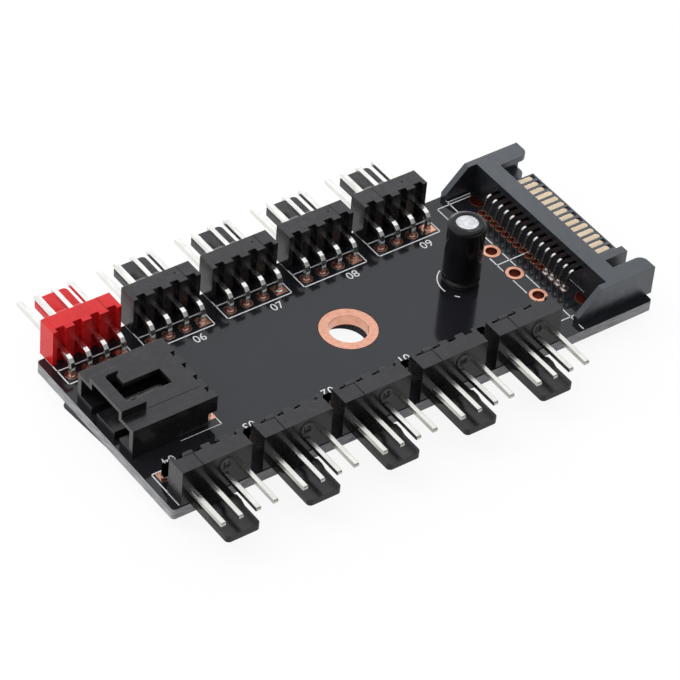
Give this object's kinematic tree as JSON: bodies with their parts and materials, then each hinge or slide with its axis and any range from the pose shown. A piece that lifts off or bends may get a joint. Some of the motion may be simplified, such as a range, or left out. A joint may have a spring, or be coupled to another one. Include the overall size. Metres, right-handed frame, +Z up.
{
  "type": "pc fan controller hub",
  "caption": "Small circuit board hub with two rows of right-angle fan headers, a SATA power plug, a shrouded control input, a capacitor, a mounting hole and a foam pad.",
  "frame": {"origin": "centre of the mounting hole, in the board's top face", "axes": "+X along the board towards the power plug, +Y towards the rear row of headers, +Z up, out of the board's top face"},
  "size_m": [0.0758, 0.0485, 0.0132],
  "materials": {
    "solder_mask": "glossy black solder mask",
    "copper": "bare copper, satin",
    "black_plastic": "moulded, semi-gloss",
    "red_plastic": "moulded, semi-gloss",
    "tin": "bright tin plating",
    "gold": "pale gold plating",
    "bare_aluminium": "drawn, satin",
    "sleeve": "shrunk sleeve, glossy",
    "seal": "matt rubber",
    "foam": "closed-cell foam, matt"
  },
  "bodies": {
    "root": {"circuit_board": "solder_mask", "mounting_hole_plating": "copper", "spare_hole_plating": "copper", "sata_housing": "black_plastic", "input_shroud": "black_plastic", "input_pins": "tin", "capacitor_can": "bare_aluminium", "capacitor_sleeve": "sleeve", "capacitor_bung": "seal", "capacitor_leads": "tin", "foam_pad": "foam", "rear_header_housing_1": "red_plastic", "front_header_housing_1": "black_plastic", "rear_header_pins_1": "tin", "front_header_pins_1": "tin", "sata_contacts_1": "gold", "rear_header_housing_2": "black_plastic", "front_header_housing_2": "black_plastic", "rear_header_pins_2": "tin", "front_header_pins_2": "tin", "sata_contacts_2": "gold", "rear_header_housing_3": "black_plastic", "front_header_housing_3": "black_plastic", "rear_header_pins_3": "tin", "front_header_pins_3": "tin", "sata_contacts_3": "gold", "rear_header_housing_4": "black_plastic", "front_header_housing_4": "black_plastic", "rear_header_pins_4": "tin", "front_header_pins_4": "tin", "sata_contacts_4": "gold", "rear_header_housing_5": "black_plastic", "front_header_housing_5": "black_plastic", "rear_header_pins_5": "tin", "front_header_pins_5": "tin", "sata_contacts_5": "gold"}
  },
  "joints": []
}
